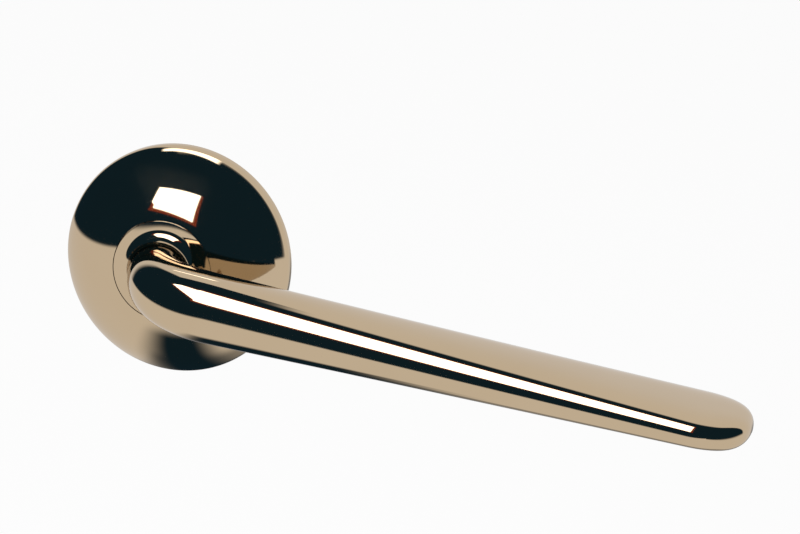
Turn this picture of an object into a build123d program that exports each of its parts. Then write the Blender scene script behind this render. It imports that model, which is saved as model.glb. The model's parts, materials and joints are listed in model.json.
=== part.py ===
from build123d import *
import os
from math import cos, pi, sin, sqrt

# Cistern lever: a cast handle on a spindle that turns in a threaded bush, behind a domed rose.
# The wall of the cistern is the plane Y = 0, the user stands on the -Y side, the handle runs along +X.
# All sizes are millimetres. A height is measured from the wall towards the user, so behind it is negative.

# Wall of the cistern, and the bush that goes through it
wall_thickness = 10.0
tail_diameter = 16.6
tail_past_nut = 5.0
tail_chamfer = 0.8
head_diameter = 20.0
head_thickness = 2.5
head_flats = 17.8
nut_height = 7.0
nut_flats = 24.0
nut_chamfer = 1.2
clamp_washer_diameter = 30.0
clamp_washer_thickness = 2.0

# Rose and its gasket
rose_diameter = 50.0
rose_rim_height = 2.0
rose_edge_radius = 3.0
rose_rim_width = 2.4
rose_wall = 2.2
rose_hub_wall = 1.6
rose_ledge = 1.6
dome_height = 12.95
dome_radius = 24.0
gasket_thickness = 2.0
gasket_proud = 0.4

# Spindle, its clip and its washers
spindle_diameter = 10.0
spindle_square = 7.0
spindle_chamfer = 0.5
front_square_length = 8.0
journal_past_clip = 1.0
groove_depth = 0.8
clip_thickness = 1.0
clip_diameter = 14.4
clip_opening = 7.2
spindle_washer_diameter = 16.0
spindle_washer_thickness = 0.8
thrust_washer_thickness = 0.8

# Handle casting
foot_diameter = 21.6
foot_thickness = 0.8
cove_radius = 2.8
neck_diameter = 12.6
elbow_radius = 16.95
bar_width = 16.2
bar_depth = 13.9
paddle_width = 25.6
paddle_depth = 6.5
handle_reach = 130.2
tip_length = 11.0
tip_squareness = 2.0
edge_squareness = 6.0
round_fullness = 0.5523
bar_fullness = 0.69
paddle_fullness = 0.83
belly_share = 0.30
handle_stations = 30

# Lift arm
arm_reach = 31.0
link_hole_pitch = 9.0
link_hole_diameter = 5.2
arm_thickness = 3.0
arm_end_diameter = 12.0
arm_droop = 40.0
boss_diameter = 16.0
boss_length = 9.0
spindle_past_boss = 1.5

# Set screws
screw_diameter = 5.0
screw_length = 2.6
screw_key = 2.5
screw_key_depth = 1.5
lever_screw_height = 5.0

# Clearances, each on the radius or on one side
running_clearance = 0.04
square_clearance = 0.05
thread_clearance = 0.05
pocket_clearance = 0.1
foot_side_clearance = 0.15
foot_under_clearance = 0.4
washer_clearance = 0.2
axial_play = 0.1

# Places worked out from the sizes above
rose_radius = rose_diameter / 2
rose_rim_top = gasket_proud + rose_rim_height
foot_radius = foot_diameter / 2
foot_height = dome_height - foot_thickness
seam_radius = foot_radius + foot_side_clearance
recess_floor = foot_height - foot_under_clearance
head_front = foot_height - axial_play - thrust_washer_thickness
head_back = head_front - head_thickness
tail_radius = tail_diameter / 2
nut_front = -(wall_thickness + clamp_washer_thickness)
nut_back = nut_front - nut_height
tail_end = nut_back - tail_past_nut
journal_radius = spindle_diameter / 2
clip_front = tail_end - axial_play - spindle_washer_thickness
clip_back = clip_front - clip_thickness
journal_end = clip_back - journal_past_clip
boss_back = journal_end - boss_length
flat_height = spindle_square / 2
handle_height = dome_height + elbow_radius
lever_screw_depth = -foot_height - lever_screw_height

os.makedirs("parts", exist_ok=True)

# Turned pieces are drawn as radius across and height up, and spun about the spindle's axis
turning_plane = Plane(origin=(0, 0, 0), x_dir=(1, 0, 0), z_dir=(0, 0, -1))


def at_height(height):
    """Plane parallel to the wall, facing the user, X across and Z up."""
    return Plane.XZ.offset(height)


def dome_point(radius, inset):
    """Point of the rose's dome at a radius, or of the surface that lies inset below it."""
    run = rose_radius - seam_radius
    rise = dome_height - rose_rim_top
    chord = sqrt(run**2 + rise**2)
    back = sqrt(dome_radius**2 - chord**2 / 4) / chord
    centre_radius = (rose_radius + seam_radius) / 2 - rise * back
    centre_height = (rose_rim_top + dome_height) / 2 - run * back
    return radius, centre_height + sqrt((dome_radius - inset) ** 2 - (radius - centre_radius) ** 2)


def ring(inner, outer, bottom, top):
    """Profile of a plain washer, inside the turning plane's sketch."""
    with Locations(((inner + outer) / 2, (bottom + top) / 2)):
        Rectangle(outer - inner, top - bottom)


# Rose: a hollow dome, with a recess for the handle's foot, a hub for the bush and a rebate for the gasket
hub_radius = seam_radius + rose_hub_wall
tail_hole_radius = tail_radius + pocket_clearance
rebate_radius = rose_radius - rose_rim_width
cavity_radius = rebate_radius - rose_ledge
dome_middle = dome_point((seam_radius + rose_radius) / 2, 0)
cavity_shoulder = dome_point(cavity_radius, rose_wall)
cavity_middle = dome_point((hub_radius + cavity_radius) / 2, rose_wall)
cavity_crown = dome_point(hub_radius, rose_wall)
with BuildPart() as rose:
    with BuildSketch(turning_plane) as rose_section:
        with BuildLine():
            ThreePointArc((seam_radius, dome_height), dome_middle, (rose_radius, rose_rim_top))
            Polyline(
                (rose_radius, rose_rim_top),
                (rose_radius, gasket_proud),
                (rebate_radius, gasket_proud),
                (rebate_radius, gasket_thickness),
                (cavity_radius, gasket_thickness),
                cavity_shoulder,
            )
            ThreePointArc(cavity_shoulder, cavity_middle, cavity_crown)
            Polyline(
                cavity_crown,
                (hub_radius, gasket_thickness),
                (tail_hole_radius, gasket_thickness),
                (tail_hole_radius, recess_floor),
                (seam_radius, recess_floor),
                (seam_radius, dome_height),
            )
        make_face()
        rim_corner = rose_section.vertices().sort_by_distance((rose_radius, rose_rim_top, 0))[0]
        fillet(rim_corner, rose_edge_radius)
    revolve(axis=Axis.Y)
    with BuildSketch(at_height(head_back)):
        Circle(head_diameter / 2 + pocket_clearance)
        Rectangle(2 * head_diameter, head_flats + 2 * pocket_clearance, mode=Mode.INTERSECT)
    extrude(amount=dome_height - head_back, mode=Mode.SUBTRACT)
rose.part.label = "rose"
export_step(rose.part, "parts/rose.step")

# Gasket: rubber ring in the rose's rebate, standing a little proud so that it meets the wall first
with BuildPart() as gasket:
    with BuildSketch(turning_plane):
        ring(tail_radius + washer_clearance, rebate_radius - washer_clearance, 0, gasket_thickness)
    revolve(axis=Axis.Y)
gasket.part.label = "gasket"
export_step(gasket.part, "parts/gasket.step")

# Tail bush: bored and threaded, with a head whose two flats stop it turning in the rose
with BuildPart() as tail_bush:
    with BuildSketch(turning_plane):
        bore_radius = journal_radius + running_clearance
        ring(bore_radius, tail_radius, tail_end, head_front)
        ring(bore_radius, head_diameter / 2, head_back, head_front)
    revolve(axis=Axis.Y)
    with BuildSketch(at_height(head_back)):
        Circle(head_diameter)
        Rectangle(2 * head_diameter, head_flats, mode=Mode.SUBTRACT)
    extrude(amount=head_thickness, mode=Mode.SUBTRACT)
    tail_rim = tail_bush.faces().sort_by(Axis.Y)[-1].edges().sort_by(SortBy.RADIUS)[-1]
    chamfer(tail_rim, tail_chamfer)
tail_bush.part.label = "tail_bush"
export_step(tail_bush.part, "parts/tail_bush.step")

# Clamp washer: bears on the inside of the cistern
with BuildPart() as clamp_washer:
    with BuildSketch(turning_plane):
        ring(tail_radius + washer_clearance, clamp_washer_diameter / 2, nut_front, -wall_thickness)
    revolve(axis=Axis.Y)
clamp_washer.part.label = "clamp_washer"
export_step(clamp_washer.part, "parts/clamp_washer.step")

# Backnut: hexagon with its rear corners turned off
with BuildPart() as backnut:
    with BuildSketch(turning_plane):
        nut_bore = tail_radius + thread_clearance
        nut_corner = nut_flats / sqrt(3)
        with BuildLine():
            Polyline(
                (nut_bore, nut_front),
                (nut_corner, nut_front),
                (nut_corner, nut_back + nut_chamfer),
                (nut_flats / 2, nut_back),
                (nut_bore, nut_back),
                close=True,
            )
        make_face()
    revolve(axis=Axis.Y)
    with BuildSketch(at_height(nut_back)):
        RegularPolygon(nut_flats / 2, 6, major_radius=False)
    extrude(amount=nut_height, mode=Mode.INTERSECT)
backnut.part.label = "backnut"
export_step(backnut.part, "parts/backnut.step")

# Thrust washer: carries the handle on the bush's head
with BuildPart() as thrust_washer:
    with BuildSketch(turning_plane):
        thrust_top = head_front + thrust_washer_thickness
        ring(journal_radius + washer_clearance, head_flats / 2 - washer_clearance, head_front, thrust_top)
    revolve(axis=Axis.Y)
thrust_washer.part.label = "thrust_washer"
export_step(thrust_washer.part, "parts/thrust_washer.step")

# Spindle: round journal with a groove for the clip, and a square at each end
with BuildPart() as spindle:
    with BuildSketch(turning_plane):
        ring(0, journal_radius, journal_end, foot_height - axial_play)
        with Locations((journal_radius - groove_depth / 2, (clip_front + clip_back) / 2)):
            Rectangle(groove_depth, clip_thickness, mode=Mode.SUBTRACT)
    revolve(axis=Axis.Y)
    with BuildSketch(at_height(foot_height - axial_play)):
        Rectangle(spindle_square, spindle_square)
    extrude(amount=front_square_length + axial_play)
    with BuildSketch(at_height(journal_end)):
        Rectangle(spindle_square, spindle_square)
    extrude(amount=-(boss_length + spindle_past_boss))
    square_ends = spindle.faces().filter_by(Axis.Y).sort_by(Axis.Y)
    chamfer(square_ends[0].edges() + square_ends[-1].edges(), spindle_chamfer)
spindle.part.label = "spindle"
export_step(spindle.part, "parts/spindle.step")

# Spindle washer: between the end of the tail and the clip
with BuildPart() as spindle_washer:
    with BuildSketch(turning_plane):
        washer_front = clip_front + spindle_washer_thickness
        ring(journal_radius + washer_clearance, spindle_washer_diameter / 2, clip_front, washer_front)
    revolve(axis=Axis.Y)
spindle_washer.part.label = "spindle_washer"
export_step(spindle_washer.part, "parts/spindle_washer.step")

# Retaining clip: flat ring, open below, sprung into the groove
with BuildPart() as retaining_clip:
    with BuildSketch(at_height(clip_back)):
        Circle(clip_diameter / 2)
        Circle(journal_radius - groove_depth + running_clearance, mode=Mode.SUBTRACT)
        with Locations((0, -clip_diameter / 2)):
            Rectangle(clip_opening, clip_diameter, mode=Mode.SUBTRACT)
    extrude(amount=clip_thickness)
retaining_clip.part.label = "retaining_clip"
export_step(retaining_clip.part, "parts/retaining_clip.step")


def oval(plane, half_width, half_depth, fullness, belly):
    """Closed section of four Bezier quarters. A belly puts its widest line below its middle."""
    widest = -belly * half_depth
    with BuildSketch(plane) as section:
        with BuildLine():
            for across, up in ((1, 1), (-1, 1), (-1, -1), (1, -1)):
                rise = up * half_depth - widest
                side = (across * half_width, widest)
                side_pull = (across * half_width, widest + rise * fullness)
                crown_pull = (across * half_width * fullness, up * half_depth)
                crown = (0, up * half_depth)
                points = (side, side_pull, crown_pull, crown)
                Bezier(*(points if across == up else points[::-1]))
        make_face()
    return section.sketch.face()


def between(start, end, share):
    return start + (end - start) * share


def centre_line(travel):
    """Plane across the handle's centre line: round the elbow, then straight out."""
    turn = min(travel / elbow_radius, pi / 2)
    across = elbow_radius * (1 - cos(turn)) + max(travel - elbow_length, 0)
    height = dome_height + elbow_radius * sin(turn)
    towards_wall = (cos(turn), sin(turn), 0)
    return Plane(origin=(across, -height, 0), x_dir=towards_wall, z_dir=(sin(turn), -cos(turn), 0))


def handle_section(travel):
    """Section of the casting at a distance along its centre line from the top of its foot."""
    if travel < elbow_length:
        bend = travel / elbow_length
        half_width = between(neck_diameter, bar_width, bend) / 2
        half_depth = between(neck_diameter, bar_depth, bend) / 2
        fullness = between(round_fullness, bar_fullness, bend)
        return oval(centre_line(travel), half_width, half_depth, fullness, belly_share * bend)
    taper = (travel - elbow_length) / (handle_length - elbow_length)
    into_tip = max(1 - (handle_length - travel) / tip_length, 0)
    plan_round = (1 - into_tip**tip_squareness) ** (1 / tip_squareness)
    edge_round = sqrt(1 - into_tip**edge_squareness)
    half_width = between(bar_width, paddle_width, taper) / 2 * plan_round
    half_depth = between(bar_depth, paddle_depth, taper) / 2 * edge_round
    fullness = between(bar_fullness, paddle_fullness, taper)
    return oval(centre_line(travel), half_width, half_depth, fullness, belly_share)


# Sections of the handle: an even taper along the bar, closer together at the neck and at the rounded tip
elbow_length = elbow_radius * pi / 2
handle_length = elbow_length + handle_reach - elbow_radius
handle_sections = []
for station in range(handle_stations):
    travel = handle_length * (1 - cos(pi * station / handle_stations)) / 2
    handle_sections.append(handle_section(travel))

# Handle: one casting, with a square socket for the spindle and a hole below for the set screw.
# The cove up from its foot ends inside the neck, by as much as the neck leans over at that height.
neck_lean = elbow_radius - sqrt(elbow_radius**2 - cove_radius**2)
cove_top = (neck_diameter / 2 - neck_lean, dome_height + cove_radius)
cove_foot = (cove_top[0] + cove_radius, dome_height)
with BuildPart() as lever:
    loft(sections=[*handle_sections, Vertex(handle_reach, -handle_height, 0)])
    with BuildSketch(turning_plane):
        with BuildLine():
            RadiusArc(cove_top, cove_foot, -cove_radius)
            Polyline(
                cove_foot,
                (foot_radius, dome_height),
                (foot_radius, foot_height),
                (0, foot_height),
                (0, cove_top[1]),
                cove_top,
            )
        make_face()
    revolve(axis=Axis.Y)
    with BuildSketch(at_height(foot_height)):
        socket_side = spindle_square + 2 * square_clearance
        Rectangle(socket_side, socket_side)
    extrude(amount=front_square_length + 2 * axial_play, mode=Mode.SUBTRACT)
    with BuildSketch(Plane.XY.offset(-flat_height)):
        with Locations((0, lever_screw_depth)):
            Circle(screw_diameter / 2 + thread_clearance)
    extrude(amount=-foot_radius, mode=Mode.SUBTRACT)
lever.part.label = "lever"
export_step(lever.part, "parts/lever.step")


def set_screw(plane):
    """Socket set screw whose point is on the plane, with its key hole at the other end."""
    with BuildPart() as screw:
        with BuildSketch(plane):
            Circle(screw_diameter / 2)
        extrude(amount=screw_length)
        with BuildSketch(plane.offset(screw_length)):
            RegularPolygon(screw_key / 2, 6, major_radius=False)
        extrude(amount=-screw_key_depth, mode=Mode.SUBTRACT)
    return screw


# Set screw of the handle, from below
lever_point = Plane(origin=(0, lever_screw_depth, -flat_height), x_dir=(1, 0, 0), z_dir=(0, 0, -1))
lever_grub_screw = set_screw(lever_point)
lever_grub_screw.part.label = "lever_grub_screw"
export_step(lever_grub_screw.part, "parts/lever_grub_screw.step")

# Lift arm: a boss on the spindle's rear square, with a flat arm that hangs down behind the wall
arm_direction = 180 + arm_droop
boss_middle = journal_end - boss_length / 2
with BuildPart() as lift_arm:
    with BuildSketch(at_height(boss_back)):
        Circle(boss_diameter / 2)
    extrude(amount=boss_length)
    with BuildSketch(at_height(boss_back)):
        Circle(boss_diameter / 2)
        with PolarLocations(arm_reach, 1, arm_direction):
            Circle(arm_end_diameter / 2)
        make_hull()
        for hole_reach in (arm_reach, arm_reach - link_hole_pitch):
            with PolarLocations(hole_reach, 1, arm_direction):
                Circle(link_hole_diameter / 2, mode=Mode.SUBTRACT)
    extrude(amount=arm_thickness)
    with BuildSketch(at_height(boss_back)):
        hole_side = spindle_square + 2 * square_clearance
        Rectangle(hole_side, hole_side)
    extrude(amount=boss_length, mode=Mode.SUBTRACT)
    with BuildSketch(Plane.XY.offset(flat_height)):
        with Locations((0, -boss_middle)):
            Circle(screw_diameter / 2 + thread_clearance)
    extrude(amount=boss_diameter, mode=Mode.SUBTRACT)
lift_arm.part.label = "lift_arm"
export_step(lift_arm.part, "parts/lift_arm.step")

# Set screw of the arm, from above
arm_point = Plane(origin=(0, -boss_middle, flat_height), x_dir=(1, 0, 0), z_dir=(0, 0, 1))
arm_grub_screw = set_screw(arm_point)
arm_grub_screw.part.label = "arm_grub_screw"
export_step(arm_grub_screw.part, "parts/arm_grub_screw.step")
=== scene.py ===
# %% [markdown]
# # A cistern lever
# A flush lever is a polished handle on a spindle. The spindle turns in a threaded bush that goes through
# the cistern's wall, behind a domed rose. The solids are already packed as a fixed frame, in metres: the
# wall is the plane Y = 0, the user stands on the -Y side and the handle runs along +X. This lesson gives
# each solid a smooth mesh and a finish, and builds a small studio round it.

# %% Load the fixed frame
import json
from math import acos, atan2, cos, pi, radians, sin, sqrt

import bmesh
import bpy
from mathutils import Matrix, Vector


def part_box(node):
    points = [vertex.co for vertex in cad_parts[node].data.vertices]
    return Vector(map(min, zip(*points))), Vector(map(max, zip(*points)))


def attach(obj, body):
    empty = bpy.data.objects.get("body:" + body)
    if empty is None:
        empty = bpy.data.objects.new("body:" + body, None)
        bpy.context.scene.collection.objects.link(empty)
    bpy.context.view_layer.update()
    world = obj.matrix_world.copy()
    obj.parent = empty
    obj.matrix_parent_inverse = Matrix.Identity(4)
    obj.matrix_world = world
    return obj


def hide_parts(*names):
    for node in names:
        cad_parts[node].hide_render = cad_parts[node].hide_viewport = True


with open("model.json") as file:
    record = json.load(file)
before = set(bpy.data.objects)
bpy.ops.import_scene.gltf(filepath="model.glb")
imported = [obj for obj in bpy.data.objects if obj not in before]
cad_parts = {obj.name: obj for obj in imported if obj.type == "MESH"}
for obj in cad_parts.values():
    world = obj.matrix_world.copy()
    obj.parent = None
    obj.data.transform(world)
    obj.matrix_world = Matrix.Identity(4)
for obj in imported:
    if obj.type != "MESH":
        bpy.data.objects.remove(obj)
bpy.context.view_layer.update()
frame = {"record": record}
mm = 0.001
body_of = {node: body for body, nodes in frame["record"]["behaviour"]["bodies"].items() for node in nodes}

# %% [markdown]
# ## Shader maths
# A finish is a small node tree. Placing its nodes by hand hides the arithmetic, so one class wraps a socket
# and turns Python's operators into Math nodes, and one method makes every other node: it takes the node's
# type, its settings and the values or links of its sockets.

# %% Sockets that do arithmetic


class Signal:
    """An output socket of a finish, which can be added, multiplied and so on."""

    def __init__(self, finish, socket):
        self.finish = finish
        self.socket = socket

    def maths(self, operation, first, second):
        return self.finish.node("ShaderNodeMath", {"operation": operation}, {0: first, 1: second})

    def __add__(self, other):
        return self.maths("ADD", self, other)

    def __radd__(self, other):
        return self.maths("ADD", other, self)

    def __sub__(self, other):
        return self.maths("SUBTRACT", self, other)

    def __rsub__(self, other):
        return self.maths("SUBTRACT", other, self)

    def __mul__(self, other):
        return self.maths("MULTIPLY", self, other)

    def __rmul__(self, other):
        return self.maths("MULTIPLY", other, self)

    def __or__(self, other):
        """The larger of two signals, for masks that are joined."""
        return self.maths("MAXIMUM", self, other)

    def __ror__(self, other):
        return self.maths("MAXIMUM", other, self)


class Finish:
    """A node tree of a material or of the world, and the one method that adds nodes to it."""

    def __init__(self, owner):
        owner.use_nodes = True
        self.owner = owner
        self.tree = owner.node_tree
        self.tree.nodes.clear()

    def node(self, kind, settings=None, inputs=None, output=0):
        made = self.tree.nodes.new(kind)
        for name, value in (settings or {}).items():
            setattr(made, name, value)
        for name, value in (inputs or {}).items():
            if isinstance(value, Signal):
                self.tree.links.new(value.socket, made.inputs[name])
            else:
                made.inputs[name].default_value = value
        return Signal(self, made.outputs[output]) if made.outputs else made


print("sockets can be added, subtracted, multiplied and joined")

# %% [markdown]
# ## Parts of a finish
# Every finish here is made of the same few parts: noise, fades, a colour between two colours, and one shader
# with a little bump. Image textures could do this too, but nodes need no files and stay sharp at any
# distance. The noise reads Object coordinates, so that it moves with its piece.

# %% Noise, fades, mixed colours and the shader
WHITE = (1, 1, 1)
EVEN = (1, 1, 1)
METAL, NO_METAL = 1.0, 0.0
BUMP_STRENGTH = 0.5
MIX_COLOUR_OUTPUT = 2


def opaque(colour):
    """Colour with the full alpha that a socket asks for."""
    return (*colour, 1.0)


def noise(finish, scale, detail, stretch=EVEN):
    """Noise in metres, with its coordinates multiplied by a stretch along X, Y and Z."""
    place = finish.node("ShaderNodeTexCoord", output="Object")
    spread = finish.node("ShaderNodeVectorMath", {"operation": "MULTIPLY"}, {0: place, 1: stretch})
    return finish.node("ShaderNodeTexNoise", inputs={"Vector": spread, "Scale": scale, "Detail": detail})


def fade(finish, value, low, high):
    """Rises smoothly from 0 to 1 while a value goes from low to high."""
    inputs = {"Value": value, "From Min": low, "From Max": high}
    return finish.node("ShaderNodeMapRange", {"interpolation_type": "SMOOTHSTEP"}, inputs)


def mixed(finish, share, first, second):
    """Colour between two colours."""
    inputs = {"Factor": share, "A": opaque(first), "B": opaque(second)}
    return finish.node("ShaderNodeMix", {"data_type": "RGBA"}, inputs, output=MIX_COLOUR_OUTPUT)


def surface(finish, colour, metallic, roughness, height, depth, edge=WHITE):
    """Closes a finish: one shader, a bump whose depth is in metres, and a tint for metal seen edge-on."""
    relief = {"Strength": BUMP_STRENGTH, "Distance": depth, "Height": height}
    inputs = {
        "Base Color": colour,
        "Metallic": metallic,
        "Roughness": roughness,
        "Normal": finish.node("ShaderNodeBump", inputs=relief),
        "Specular Tint": opaque(edge),
    }
    shader = finish.node("ShaderNodeBsdfPrincipled", inputs=inputs)
    finish.node("ShaderNodeOutputMaterial", inputs={"Surface": shader})
    return finish.owner


print("parts of a finish ready")

# %% [markdown]
# ## Polished nickel
# The handle and the rose are plated and buffed to a mirror, in a warm nickel. A mirror shows the room more
# than itself, so a busy pattern would look wrong on it. The finish has little to do: a base colour that
# tints the reflections, a greyer tint where the metal is seen edge-on, and the very faint haze and waviness
# that buffing leaves.

# %% Finish: polished nickel
NICKEL = (0.525, 0.412, 0.280)
NICKEL_DEEP = (0.495, 0.380, 0.250)
NICKEL_EDGE = (0.85, 0.84, 0.84)
MIRROR_ROUGHNESS = 0.04
HAZE_ROUGHNESS = 0.04
BUFFING_DEPTH = 0.01 * mm


def polished_nickel():
    finish = Finish(bpy.data.materials.new("polished_nickel"))
    cloud = noise(finish, scale=55.0, detail=3.0)
    haze = noise(finish, scale=900.0, detail=4.0)
    wave = noise(finish, scale=90.0, detail=0.0)
    colour = mixed(finish, cloud, NICKEL_DEEP, NICKEL)
    roughness = MIRROR_ROUGHNESS + HAZE_ROUGHNESS * haze * cloud
    return surface(finish, colour, METAL, roughness, wave, BUFFING_DEPTH, NICKEL_EDGE)


nickel = polished_nickel()
print("finish:", nickel.name)

# %% [markdown]
# ## Works behind the wall
# What the rose hides is not polished. Brass bar is turned or milled and goes a little brown in damp air; the
# spindle and its washer are zinc-plated steel, the clip and the set screws are blackened. Each could have a
# tree of its own, but all of them are tool marks with age on top, so one function serves for all. Turning
# leaves fine rings, so the noise is squeezed along the axis that the piece was turned about.

# %% Finishes: brass, plated steel, blackened steel
BRASS = (0.640, 0.440, 0.175)
BRASS_BROWN = (0.330, 0.205, 0.080)
ZINC = (0.560, 0.570, 0.580)
ZINC_DULL = (0.420, 0.430, 0.445)
BLACKENED = (0.040, 0.040, 0.044)
BLACKENED_WORN = (0.105, 0.100, 0.098)
TURNED = (0.04, 8, 0.04)
MILLED = (1, 0.1, 0.1)
PATCH_AGE, SPECK_AGE = 0.6, 0.3
LINE_ROUGHNESS, PATCH_ROUGHNESS = 0.14, 0.16
TOOL_MARK_DEPTH = 0.02 * mm


def worked_metal(name, clean, aged, roughness, stretch):
    """Metal straight from the machine: fine lines along one direction, aged in patches."""
    finish = Finish(bpy.data.materials.new(name))
    lines = noise(finish, scale=600.0, detail=3.0, stretch=stretch)
    patches = fade(finish, noise(finish, scale=170.0, detail=5.0), low=0.48, high=0.72)
    specks = fade(finish, noise(finish, scale=1400.0, detail=2.0), low=0.62, high=0.80)
    colour = mixed(finish, patches * PATCH_AGE + specks * SPECK_AGE, clean, aged)
    uneven = roughness + LINE_ROUGHNESS * lines + PATCH_ROUGHNESS * patches
    return surface(finish, colour, METAL, uneven, lines, TOOL_MARK_DEPTH)


turned_brass = worked_metal("turned_brass", BRASS, BRASS_BROWN, roughness=0.20, stretch=TURNED)
milled_brass = worked_metal("milled_brass", BRASS, BRASS_BROWN, roughness=0.24, stretch=MILLED)
zinc_steel = worked_metal("zinc_steel", ZINC, ZINC_DULL, roughness=0.24, stretch=TURNED)
black_steel = worked_metal("black_steel", BLACKENED, BLACKENED_WORN, roughness=0.30, stretch=EVEN)
print("finishes:", turned_brass.name, milled_brass.name, zinc_steel.name, black_steel.name)

# %% [markdown]
# ## Rubber and plastic
# The gasket is black rubber, greyed by a little bloom. The washers that carry and clamp are white moulded
# plastic, slightly yellowed, with the fine orange-peel skin of a mould. Both are a mottle of two colours
# under a grain, so one function makes them, with colours and a grain of their own.

# %% Finishes: rubber and white plastic
RUBBER_BLACK = (0.022, 0.022, 0.023)
RUBBER_BLOOM = (0.040, 0.040, 0.041)
PLASTIC_WHITE = (0.800, 0.790, 0.745)
PLASTIC_YELLOWED = (0.735, 0.715, 0.650)
SKIN_ROUGHNESS = 0.12


def moulded(name, fresh, aged, roughness, skin_scale, skin_depth):
    """Moulded stuff: a soft mottle of two colours and the grain of the mould's skin."""
    finish = Finish(bpy.data.materials.new(name))
    mottle = fade(finish, noise(finish, scale=130.0, detail=4.0), low=0.35, high=0.70)
    skin = noise(finish, scale=skin_scale, detail=2.0)
    colour = mixed(finish, mottle, fresh, aged)
    return surface(finish, colour, NO_METAL, roughness + SKIN_ROUGHNESS * skin, skin, skin_depth)


rubber = moulded(
    "black_rubber", RUBBER_BLACK, RUBBER_BLOOM, roughness=0.72, skin_scale=2600.0, skin_depth=0.03 * mm
)
plastic = moulded(
    "white_plastic", PLASTIC_WHITE, PLASTIC_YELLOWED, roughness=0.38, skin_scale=1800.0, skin_depth=0.01 * mm
)
print("finishes:", rubber.name, plastic.name)

# %% [markdown]
# ## From a bmesh to a piece
# Each piece is modelled in a bmesh with its place already in its points, so that its object can sit at the
# origin. The same few lines then close it: doubles are merged, the faces are turned outwards, and the piece
# takes over its solid. Holes that cross a curved face are cut with a second object, which gives clean rims
# for little code.

# %% Helpers that make and carve a piece
MERGE_DISTANCE = 0.0005 * mm


def close_up(bm):
    """Merges the doubles of a bmesh and turns its faces outwards."""
    bmesh.ops.remove_doubles(bm, verts=bm.verts, dist=MERGE_DISTANCE)
    bmesh.ops.recalc_face_normals(bm, faces=bm.faces)


def as_object(bm, name):
    """Object made of a bmesh, which is used up."""
    close_up(bm)
    mesh = bpy.data.meshes.new(name)
    bm.to_mesh(mesh)
    bm.free()
    piece = bpy.data.objects.new(name, mesh)
    bpy.context.scene.collection.objects.link(piece)
    return piece


def carve(piece, tool, operation="DIFFERENCE"):
    """Cuts, trims or joins a piece with a second object, which is used up."""
    modifier = piece.modifiers.new("carve", "BOOLEAN")
    modifier.operation = operation
    modifier.solver = "EXACT"
    modifier.object = tool
    bpy.context.view_layer.update()
    carved = piece.evaluated_get(bpy.context.evaluated_depsgraph_get())
    mesh = bpy.data.meshes.new_from_object(carved)
    piece.modifiers.clear()
    piece.data = mesh
    bpy.data.objects.remove(tool)


print("ready to make and carve pieces")

# %% Helpers that soften and dress a piece
SHARP_ANGLE = radians(40)
ROUNDING_SEGMENTS = 3


def soften(piece, width):
    """Breaks the sharp edges of a machined piece and keeps its flat faces flat to the eye."""
    rounding = piece.modifiers.new("rounding", "BEVEL")
    rounding.width = width
    rounding.segments = ROUNDING_SEGMENTS
    rounding.limit_method = "ANGLE"
    rounding.angle_limit = SHARP_ANGLE
    rounding.miter_outer = "MITER_ARC"
    piece.modifiers.new("even_shading", "WEIGHTED_NORMAL").keep_sharp = True


def dress(piece, node, material):
    """The piece takes a finish, stands for a solid and moves with that solid's body."""
    piece.data.materials.clear()
    piece.data.materials.append(material)
    piece.data.shade_smooth()
    piece.data.set_sharp_from_angle(angle=SHARP_ANGLE)
    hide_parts(node)
    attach(piece, body_of[node])
    print(piece.name, "stands for", node, "with", len(piece.data.polygons), "faces")


print("ready to soften and dress pieces")

# %% [markdown]
# ## Turned pieces
# Most of the works are turned on a lathe: a section is spun about the spindle's axis. A pen draws that
# section as a wire, with the radius along X and the height, towards the user, along -Y. Round stretches are
# spun too, about the centre of their arc, so the script holds corners only. Bars and blocks that cut or join
# are ready-made shapes.

# %% A pen for turned sections
LATHE_STEPS = 96


class Pen:
    """Draws a wire in the turning plane, from point to point, for a spin about the spindle's axis."""

    def __init__(self, radius, height):
        self.bm = bmesh.new()
        self.first = self.last = self.bm.verts.new((radius, -height, 0))

    def line(self, *points):
        for radius, height in points:
            step = self.bm.verts.new((radius, -height, 0))
            self.bm.edges.new((self.last, step))
            self.last = step

    def arc(self, centre, radius, height, steps):
        """Arc about a centre, given as radius and height, to an end point."""
        middle = Vector((centre[0], -centre[1], 0))
        begin = self.last.co - middle
        end = Vector((radius, -height, 0)) - middle
        turn = atan2(begin.x * end.y - begin.y * end.x, begin.x * end.x + begin.y * end.y)
        made = bmesh.ops.spin(
            self.bm, geom=[self.last], cent=middle, axis=(0, 0, 1), angle=turn, steps=steps
        )["geom_last"]
        self.last = next(item for item in made if isinstance(item, bmesh.types.BMVert))

    def close(self):
        self.bm.edges.new((self.last, self.first))

    def spin(self, steps=LATHE_STEPS):
        """Spins the wire all the way round and hands over the bmesh."""
        bmesh.ops.spin(
            self.bm,
            geom=[*self.bm.verts, *self.bm.edges],
            axis=(0, 1, 0),
            cent=(0, 0, 0),
            angle=2 * pi,
            steps=steps,
            use_merge=True,
        )
        return self.bm


def turned(corners, steps=LATHE_STEPS):
    """Bmesh spun from a closed section, given as its corners of radius and height."""
    pen = Pen(*corners[0])
    pen.line(*corners[1:])
    pen.close()
    return pen.spin(steps)


print("a full turn has", LATHE_STEPS, "steps")

# %% Rounded edges, bars, blocks and rings
ALONG_Y = Matrix(((0, 1, 0, 0), (0, 0, 1, 0), (1, 0, 0, 0), (0, 0, 0, 1)))


def round_edges(bm, width):
    """Rounds every edge of a turned bmesh where two faces meet at an angle."""
    close_up(bm)
    sharp = [edge for edge in bm.edges if len(edge.link_faces) == 2 and edge.calc_face_angle() > SHARP_ANGLE]
    bmesh.ops.bevel(
        bm, geom=sharp, offset=width, affect="EDGES", segments=ROUNDING_SEGMENTS, profile=0.5, material=-1
    )


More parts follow.
